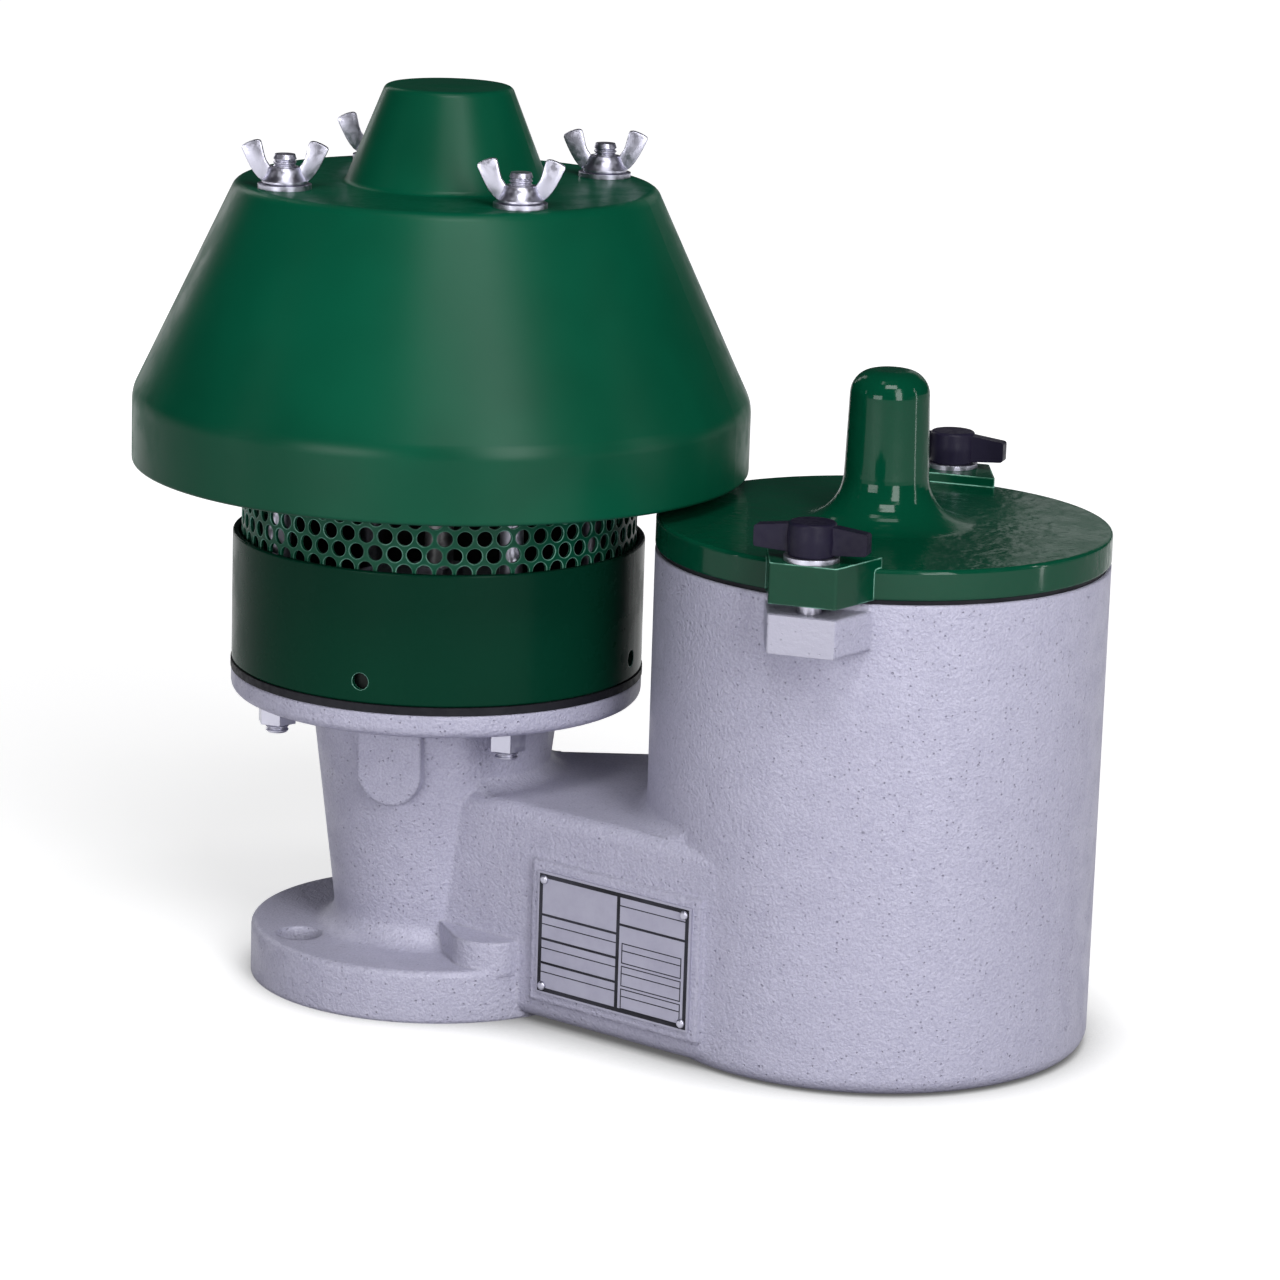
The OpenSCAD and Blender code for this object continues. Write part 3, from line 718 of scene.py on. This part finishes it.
def settle(name: str, mesh: bmesh.types.BMesh, material: bpy.types.Material, body: str,
           sharp_deg: float = 35.0) -> bpy.types.Object:
    """Turns a bmesh into a finished piece that rides on a body.

    Args:
        name: Piece name.
        mesh: Mesh in the part's frame; it is freed.
        material: Material for all faces.
        body: CAD body that carries the piece.
        sharp_deg: Edges that bend more than this stay sharp.

    Returns:
        The new object.
    """
    limit = math.radians(sharp_deg)
    for face in mesh.faces:
        face.smooth = True
    for edge in mesh.edges:
        edge.smooth = len(edge.link_faces) == 2 and edge.calc_face_angle(0.0) < limit
    data = bpy.data.meshes.new(name)
    mesh.to_mesh(data)
    mesh.free()
    data.materials.append(material)
    piece = bpy.data.objects.new(name, data)
    bpy.context.scene.collection.objects.link(piece)
    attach(piece, body)
    log.info("built %s on %s", name, body)
    return piece


def add_lathe(mesh: bmesh.types.BMesh, profile: list[Point2], centre: Point2, steps: int = 64) -> None:
    """Spins a profile round an upright axis.

    Args:
        mesh: Mesh to add to.
        profile: Radius and height points, closed through the axis or as a loop.
        centre: Place of the axis.
        steps: Facets round the axis.
    """
    points = [mesh.verts.new((centre[0] + r, centre[1], z)) for r, z in profile]
    edges = [mesh.edges.new(pair) for pair in zip(points, points[1:])]
    bmesh.ops.spin(mesh, geom=points + edges, cent=(*centre, 0.0), axis=(0.0, 0.0, 1.0),
                   angle=math.tau, steps=steps, use_merge=True)


def clean(mesh: bmesh.types.BMesh) -> bmesh.types.BMesh:
    """Merges doubles and points the faces outwards.

    Args:
        mesh: Mesh to clean.

    Returns:
        The same mesh.
    """
    bmesh.ops.remove_doubles(mesh, verts=mesh.verts, dist=0.001 * MM)
    bmesh.ops.recalc_face_normals(mesh, faces=mesh.faces)
    return mesh


# Sub-assemblies


@dataclass
class BodyAssembly:
    """The body casting with its inner fixed pieces."""

    zinc_nodes: tuple[str, ...] = ("inlet_ring", "inlet_screws", "nameplate_screws", "tie_rod_nuts")
    steel_nodes: tuple[str, ...] = ("pressure_seat", "vacuum_seat", "inlet_screen")

    def dress(self, palette: Palette) -> None:
        """Gives the casting and its fixed pieces their finishes."""
        dress("body_casting", palette.cast)
        for name in self.zinc_nodes:
            dress(name, palette.zinc)
        for name in self.steel_nodes:
            dress(name, palette.stainless)


@dataclass
class Strip:
    """Printed rectangle on the nameplate, in millimetres from the plate's centre.

    Attributes:
        left: Left edge.
        bottom: Lower edge.
        right: Right edge.
        top: Upper edge.
    """

    left: float
    bottom: float
    right: float
    top: float


@dataclass
class Nameplate:
    """Blank rating plate on the front wall of the bridge, with ruled fields.

    Attributes:
        centre: Middle of the plate's outer face, in metres.
        flare_deg: Angle of the bridge wall.
        length: Plate length in millimetres, as all sizes below.
        height: Plate height.
        ink: Thickness of the printed rules.
        split: Share of the width that the left column takes.
        divider: Half the width of the divider.
        left_rows: Heights of the bold rules in the left column.
        left_drop: Drop from a bold rule to the fine rule under it.
        right_head: Heights of the fine and the bold rule over the right column.
        right_rows: Tops of the boxed fields in the right column.
        field_height: Height of a boxed field.
        field_drop: Drop from a field's top to the fine rule inside it.
        field_inset: Gap beside a field.
    """

    centre: tuple[float, float, float] = (105.2341 * MM, -69.8433 * MM, 41.0 * MM)
    flare_deg: float = 19.5
    length: float = 79.0
    height: float = 52.0
    ink: float = 0.08
    split: float = 0.535
    divider: float = 0.8
    left_rows: tuple[float, ...] = (7.2, -3.0, -13.2)
    left_drop: float = 3.6
    right_head: Point2 = (19.6, 11.4)
    right_rows: tuple[float, ...] = (4.4, -5.2, -14.8)
    field_height: float = 8.6
    field_drop: float = 3.4
    field_inset: float = 1.4

    def _rules(self) -> list[Strip]:
        """Lays out the border, the divider and the ruled fields.

        Returns:
            The printed rectangles.
        """
        side, up = self.length / 2 - 1.0, self.height / 2 - 1.0
        edge, bold, fine = 1.7, 1.0, 0.4
        middle = -side + self.split * 2 * side
        left, right = -side + edge, side - edge
        mid_l, mid_r = middle - self.divider, middle + self.divider
        rules = [
            Strip(-side, up - edge, side, up), Strip(-side, -up, side, -up + edge),
            Strip(-side, -up + edge, left, up - edge), Strip(right, -up + edge, side, up - edge),
            Strip(mid_l, -up + edge, mid_r, up - edge),
        ]
        for level in self.left_rows:
            lower = level - self.left_drop
            rules.append(Strip(left, level, mid_l, level + bold))
            rules.append(Strip(left, lower, mid_l, lower + fine))
        thin, thick = self.right_head
        rules.append(Strip(mid_r, thin, right, thin + fine))
        rules.append(Strip(mid_r, thick, right, thick + bold))
        start, end = mid_r + self.field_inset, right - self.field_inset
        for level in self.right_rows:
            lower = level - self.field_drop
            rules += self._field(start, level - self.field_height, end, level, fine)
            rules.append(Strip(start, lower, end, lower + fine))
        return rules

    @staticmethod
    def _field(left: float, bottom: float, right: float, top: float, line: float) -> list[Strip]:
        """Makes the four lines of a boxed field.

        Args:
            left: Left edge.
            bottom: Lower edge.
            right: Right edge.
            top: Upper edge.
            line: Line width.

        Returns:
            Four strips.
        """
        return [
            Strip(left, top - line, right, top), Strip(left, bottom, right, bottom + line),
            Strip(left, bottom + line, left + line, top - line),
            Strip(right - line, bottom + line, right, top - line),
        ]

    def build(self, palette: Palette) -> None:
        """Dresses the plate and lays the printed rules on it."""
        dress("nameplate", palette.plate)
        flare = math.radians(self.flare_deg)
        along = Vector((math.cos(flare), -math.sin(flare), 0.0))
        out = Vector((-math.sin(flare), -math.cos(flare), 0.0))
        turn = Matrix((along, out, Vector((0.0, 0.0, 1.0)))).transposed().to_4x4()
        place = Matrix.Translation(self.centre) @ turn @ Matrix.Scale(MM, 4)
        mesh = bmesh.new()
        for strip in self._rules():
            size = (strip.right - strip.left, self.ink, strip.top - strip.bottom, 1.0)
            middle = ((strip.left + strip.right) / 2, self.ink / 2, (strip.bottom + strip.top) / 2)
            spot = place @ Matrix.Translation(middle) @ Matrix.Diagonal(size)
            bmesh.ops.create_cube(mesh, size=1.0, matrix=spot)
        bmesh.ops.recalc_face_normals(mesh, faces=mesh.faces)
        settle("nameplate_rules", mesh, palette.print, ROOT_BODY)


@dataclass
class ThreadedRods:
    """Group of equal upright rods, threaded at one or both ends.

    Attributes:
        node: CAD node that the rods stand for.
        lower_thread: Threaded length at the lower end, in metres.
        upper_thread: Threaded length at the upper end, in metres.
        columns: Number of rods along X.
        radius: Radius over the crests.
        root: Radius in the thread's roots.
        pitch: Thread pitch.
        chamfer: Length of the bevelled ends.
    """

    node: str
    lower_thread: float
    upper_thread: float
    columns: int
    radius: float = 4.7625 * MM
    root: float = 4.1 * MM
    pitch: float = 1.5875 * MM
    chamfer: float = 0.8 * MM

    def _thread(self, low: float, high: float) -> list[Point2]:
        """Draws the V grooves of one threaded stretch.

        Args:
            low: Lower end of the stretch.
            high: Upper end of the stretch.

        Returns:
            Radius and height points, upwards.
        """
        turns = int((high - low) / self.pitch)
        points: list[Point2] = []
        for turn in range(turns):
            z = low + turn * self.pitch
            points += [
                (self.radius, z), (self.radius, z + 0.15 * self.pitch),
                (self.root, z + 0.5 * self.pitch), (self.root, z + 0.65 * self.pitch),
            ]
        return [*points, (self.radius, low + turns * self.pitch)]

    def _profile(self, foot: float, top: float) -> list[Point2]:
        """Draws one rod from its foot to its top.

        Args:
            foot: Height of the lower end.
            top: Height of the upper end.

        Returns:
            Radius and height points, closed on the axis.
        """
        bevel = self.chamfer
        lower = self._thread(foot + bevel, foot + bevel + self.lower_thread)
        upper = self._thread(top - bevel - self.upper_thread, top - bevel)
        return [(0.0, foot), (self.root, foot), *lower, *upper, (self.root, top), (0.0, top)]

    def build(self, palette: Palette) -> None:
        """Builds the rods in place of their CAD node."""
        low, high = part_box(self.node)
        across = [low.x + self.radius, high.x - self.radius][:self.columns]
        profile = self._profile(low.z, high.z)
        mesh = bmesh.new()
        for x in across:
            for y in (low.y + self.radius, high.y - self.radius):
                add_lathe(mesh, profile, (x, y), 32)
        piece = settle(f"{self.node}_threaded", clean(mesh), palette.zinc, ROOT_BODY)
        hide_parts(self.node)


@dataclass
class WingNut:
    """Wing nut on one tie rod, with two round-bellied ears on a flared hub.

    Attributes:
        corner: Corner of the hood where the nut sits.
        foot_radius: Radius of the hub's flared foot, in metres.
        neck_radius: Radius of the hub's top.
        hub_height: Height of the hub.
        bore: Radius of the threaded bore.
        thickness: Thickness of the ears.
        reach: Reach of an ear from the nut's axis.
        round_over: Rounding of the ears' edges.
        wing_deg: Turn of the ears from the X axis.
    """

    corner: Corner
    foot_radius: float = 9.2 * MM
    neck_radius: float = 6.6 * MM
    hub_height: float = 6.9 * MM
    bore: float = 5.0 * MM
    thickness: float = 3.2 * MM
    reach: float = 17.5 * MM
    round_over: float = 0.5 * MM
    wing_deg: float = 18.0

    def _hub(self) -> list[Point2]:
        """Draws the hub's section round its bore.

        Returns:
            Radius and height points of a closed loop.
        """
        foot, neck, top, rim = self.foot_radius, self.neck_radius, self.hub_height, 0.5 * MM
        return [
            (self.bore, 0.0), (foot - rim, 0.0), (foot, rim), (foot, 1.3 * MM),
            (foot - 0.3 * MM, 1.7 * MM), (neck + 1.1 * MM, 3.4 * MM), (neck + 0.3 * MM, 5.2 * MM),
            (neck, top - rim), (neck - rim, top), (self.bore, top), (self.bore, 0.0),
        ]

    def _ear(self, mesh: bmesh.types.BMesh, place: Matrix, crown: float) -> None:
        """Adds one ear in the plane of the nut.

        Args:
            mesh: Mesh to add to.
            place: Place and turn of the ear.
            crown: Height of the ear's top.
        """
        wide = self.reach / max(r for r, _ in EAR_OUTLINE)
        tall = crown / max(z for _, z in EAR_OUTLINE)
        half = self.thickness / 2
        front = [mesh.verts.new((r * wide, -half, z * tall)) for r, z in EAR_OUTLINE]
        pushed = bmesh.ops.extrude_face_region(mesh, geom=[mesh.faces.new(front)])["geom"]
        back = [item for item in pushed if isinstance(item, bmesh.types.BMVert)]
        bmesh.ops.translate(mesh, vec=(0.0, 2 * half, 0.0), verts=back)
        rims = dict.fromkeys(
            edge for vert in [*front, *back] for edge in vert.link_edges
            if abs(edge.verts[0].co.y - edge.verts[1].co.y) < half
        )
        rounded = bmesh.ops.bevel(mesh, geom=list(rims), offset=self.round_over, offset_type="OFFSET",
                                  segments=2, profile=0.5, affect="EDGES", material=-1)
        whole = dict.fromkeys(vert for face in rounded["faces"] for vert in face.verts)
        bmesh.ops.transform(mesh, matrix=place, verts=list(whole))

    def build(self, palette: Palette) -> None:
        """Builds the nut in place of its CAD node."""
        name = f"wing_nut_{self.corner.value}"
        low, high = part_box(name)
        centre = Vector(((low.x + high.x) / 2, (low.y + high.y) / 2, low.z))
        mesh = bmesh.new()
        add_lathe(mesh, [(r, z + centre.z) for r, z in self._hub()], (centre.x, centre.y), 48)
        first = math.radians(self.wing_deg)
        for turn in (first, first + math.pi):
            place = Matrix.Translation(centre) @ Matrix.Rotation(turn, 4, "Z")
            self._ear(mesh, place, high.z - low.z)
        piece = settle(f"{name}_forged", clean(mesh), palette.zinc, name)
        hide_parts(name)


@dataclass
class PressureHead:
    """Drum, screen and hood over the neck, above the pressure pallet, with the neck gasket, hood washers,
    wing nuts and bush.
    """

    corners: tuple[Corner, ...] = tuple(Corner)

    def dress(self, palette: Palette) -> None:
        """Gives the pressure side its finishes."""
        dress("neck_gasket", palette.rubber)
        dress("drum", palette.shaded_drum_paint)
        dress("screen", palette.screen_paint)
        dress("hood", palette.sheet_paint)
        for corner in self.corners:
            dress(f"hood_washer_{corner.value}", palette.zinc)
            WingNut(corner).build(palette)
        dress("hood_bush", palette.bronze)


@dataclass
class VacuumHead:
    """Cap over the pot with its gasket, washers, knobs and bush; the studs through it are built apart."""

    sides: tuple[str, ...] = ("front", "rear")

    def dress(self, palette: Palette) -> None:
        """Gives the vacuum side its finishes."""
        dress("cap", palette.cast_paint)
        dress("cap_gasket", palette.rubber)
        for side in self.sides:
            dress(f"cap_washer_{side}", palette.zinc)
            dress(f"cap_knob_{side}", palette.knob)
        dress("cap_bush", palette.bronze)


@dataclass
class PalletStack:
    """One pallet on its stem, with the seal, the weight and the nut.

    Attributes:
        prefix: Start of the nodes' names.
    """

    prefix: str

    def dress(self, palette: Palette) -> None:
        """Gives the moving stack its finishes."""
        dress(f"{self.prefix}_pallet", palette.stainless)
        dress(f"{self.prefix}_stem", palette.stainless)
        dress(f"{self.prefix}_seal", palette.seal)
        dress(f"{self.prefix}_weight", palette.zinc)
        dress(f"{self.prefix}_stem_nut", palette.zinc)


# Studio


@dataclass(frozen=True)
class Softbox:
    """Rectangular area lamp aimed at the valve.

    Attributes:
        name: Lamp name.
        azimuth_deg: Direction from the valve, as the camera's azimuth is counted.
        elevation_deg: Height above the horizon.
        distance: Distance from the aim point.
        width: Lamp width.
        height: Lamp height.
        power: Lamp power in watts.
        colour: Lamp colour.
    """

    name: str
    azimuth_deg: float
    elevation_deg: float
    distance: float
    width: float
    height: float
    power: float
    colour: Colour = (1.0, 1.0, 1.0)

    def build(self, aim: Vector) -> None:
        """Places the lamp.

        Args:
            aim: Point that the lamp looks at.
        """
        azimuth, elevation = math.radians(self.azimuth_deg), math.radians(self.elevation_deg)
        level = math.cos(elevation)
        back = Vector((math.sin(azimuth) * level, -math.cos(azimuth) * level, math.sin(elevation)))
        data = bpy.data.lights.new(self.name, "AREA")
        data.shape = "RECTANGLE"
        data.size, data.size_y = self.width, self.height
        data.energy = self.power
        data.color = self.colour
        lamp = bpy.data.objects.new(self.name, data)
        bpy.context.scene.collection.objects.link(lamp)
        lamp.location = aim + back * self.distance
        lamp.rotation_mode = "QUATERNION"
        lamp.rotation_quaternion = back.to_track_quat("Z", "Y")


@dataclass
class Studio:
    """Pale floor, soft lamps and the camera at the photograph's angle.

    Attributes:
        eye: Place of the camera.
        right: Camera's direction to the right.
        up: Camera's direction upwards.
        back: Direction from the valve to the camera.
        lens_mm: Focal length.
        sensor_mm: Sensor width.
        aim: Point that the lamps look at.
        floor_radius: Radius of the floor disc.
        floor_bounce: Floor colour for the light that it throws back.
        floor_shade: Floor colour under its glow, where shadows show.
        lift_span: Distances from the valve over which the floor's glow grows to white.
        lift_near: Floor's glow beside the valve.
        contact_reach: Reach of the contact shadow.
        lamps: Lamps of the studio.
        world_level: Strength of the world's light.
        world_colour: Colour of the world's light.
    """

    eye: Vector = field(default_factory=lambda: Vector((0.69939, -1.82855, 0.61455)))
    right: Vector = field(default_factory=lambda: Vector((0.94582, 0.32321, 0.03102)))
    up: Vector = field(default_factory=lambda: Vector((-0.10381, 0.21050, 0.97207)))
    back: Vector = field(default_factory=lambda: Vector((0.30765, -0.92262, 0.23265)))
    lens_mm: float = 134.89
    sensor_mm: float = 36.0
    aim: Vector = field(default_factory=lambda: Vector((0.07, 0.0, 0.17)))
    floor_radius: float = 40.0
    floor_bounce: Colour = (0.24, 0.23, 0.31)
    floor_shade: Colour = (0.6, 0.6, 0.6)
    lift_span: Point2 = (0.35, 1.6)
    lift_near: float = 0.66
    contact_reach: float = 0.06
    lamps: tuple[Softbox, ...] = (
        Softbox("key_softbox", 45.0, 20.0, 1.9, 0.55, 1.2, 24.0),
        Softbox("hood_softbox", 26.0, 52.0, 1.9, 0.9, 0.45, 16.0),
        Softbox("fill_softbox", -16.0, 8.0, 2.2, 1.0, 0.6, 16.0),
        Softbox("left_softbox", -128.0, 24.0, 1.9, 0.3, 1.4, 5.0),
        Softbox("rear_softbox", 176.0, 17.0, 2.0, 0.9, 0.5, 1.1),
        Softbox("top_softbox", 24.0, 80.0, 2.1, 1.2, 0.3, 6.0),
        Softbox("right_strip", 97.0, 10.7, 0.97, 0.03, 0.66, 1.0),
        Softbox("left_strip", -55.0, 10.7, 0.97, 0.03, 0.66, 0.4),
    )
    world_level: float = 0.045
    world_colour: Colour = (0.84, 0.82, 1.0)

    def build_camera(self) -> None:
        """Makes the scene's camera."""
        data = bpy.data.cameras.new("camera")
        data.lens, data.sensor_width = self.lens_mm, self.sensor_mm
        camera = bpy.data.objects.new("camera", data)
        bpy.context.scene.collection.objects.link(camera)
        turn = Matrix((self.right, self.up, self.back)).transposed().to_4x4()
        camera.matrix_world = Matrix.Translation(self.eye) @ turn
        bpy.context.scene.camera = camera

    def build_floor(self) -> None:
        """Makes the pale floor, which keeps the valve's shadow."""
        mesh = bmesh.new()
        bmesh.ops.create_circle(mesh, cap_ends=True, segments=96, radius=self.floor_radius)
        data = bpy.data.meshes.new("floor")
        mesh.to_mesh(data)
        mesh.free()
        data.materials.append(self._floor_material())
        floor = bpy.data.objects.new("floor", data)
        bpy.context.scene.collection.objects.link(floor)

    def _floor_material(self) -> bpy.types.Material:
        """Makes a white floor that the camera and reflections see lifted to white.

        Returns:
            The material.
        """
        material = bpy.data.materials.new("studio_floor")
        material.use_nodes = True
        tree = material.node_tree
        tree.nodes.clear()
        graph = Graph(tree)
        coords = graph.add("ShaderNodeTexCoord").outputs["Object"]
        away = graph.add("ShaderNodeVectorMath", operation="DISTANCE")
        graph.link(coords, away.inputs[0])
        away.inputs[1].default_value = (self.aim.x, self.aim.y, 0.0)
        near, far = self.lift_span
        lift = graph.remap(away.outputs["Value"], near, far, self.lift_near, 1.0)
        contact = graph.add("ShaderNodeAmbientOcclusion", samples=12)
        contact.inputs["Distance"].default_value = self.contact_reach
        shade = graph.remap(contact.outputs["AO"], 0.12, 0.95, 0.15, 1.0)
        path = graph.add("ShaderNodeLightPath")
        seen = graph.math("MAXIMUM", path.outputs["Is Camera Ray"], path.outputs["Is Glossy Ray"])
        seen = graph.math("MAXIMUM", seen, path.outputs["Is Transmission Ray"])
        glow = graph.add("ShaderNodeEmission")
        lit = graph.math("MULTIPLY", lift, shade)
        graph.link(graph.math("MULTIPLY", lit, seen), glow.inputs["Strength"])
        matt = graph.add("ShaderNodeBsdfDiffuse")
        bounce = graph.mix(seen, rgba(self.floor_bounce), rgba(self.floor_shade))
        graph.link(graph.mix(shade, (0.0, 0.0, 0.0, 1.0), bounce), matt.inputs["Color"])
        both = graph.add("ShaderNodeAddShader")
        graph.link(matt.outputs[0], both.inputs[0])
        graph.link(glow.outputs[0], both.inputs[1])
        out = graph.add("ShaderNodeOutputMaterial")
        graph.link(both.outputs[0], out.inputs["Surface"])
        return material

    def build_light(self) -> None:
        """Sets the world's level and places the lamps."""
        world = bpy.data.worlds.new("studio_world")
        world.use_nodes = True
        sky = world.node_tree.nodes["Background"]
        sky.inputs["Color"].default_value = rgba(self.world_colour)
        sky.inputs["Strength"].default_value = self.world_level
        bpy.context.scene.world = world
        for lamp in self.lamps:
            lamp.build(self.aim)

    def build(self) -> None:
        """Builds the whole studio."""
        self.build_camera()
        self.build_floor()
        self.build_light()
        bpy.context.scene.view_settings.view_transform = "Standard"


def main() -> None:
    """Builds the valve's looks and the studio."""
    logging.basicConfig(level=logging.INFO, format="%(name)s: %(message)s")
    Studio().build()
    palette = Palette()
    BodyAssembly().dress(palette)
    PressureHead().dress(palette)
    ThreadedRods("tie_rods", 20.0 * MM, 36.0 * MM, 2).build(palette)
    VacuumHead().dress(palette)
    ThreadedRods("cap_studs", 10.0 * MM, 26.0 * MM, 1).build(palette)
    for prefix in ("pressure", "vacuum"):
        PalletStack(prefix).dress(palette)
    Nameplate().build(palette)


if __name__ == "__main__":
    main()
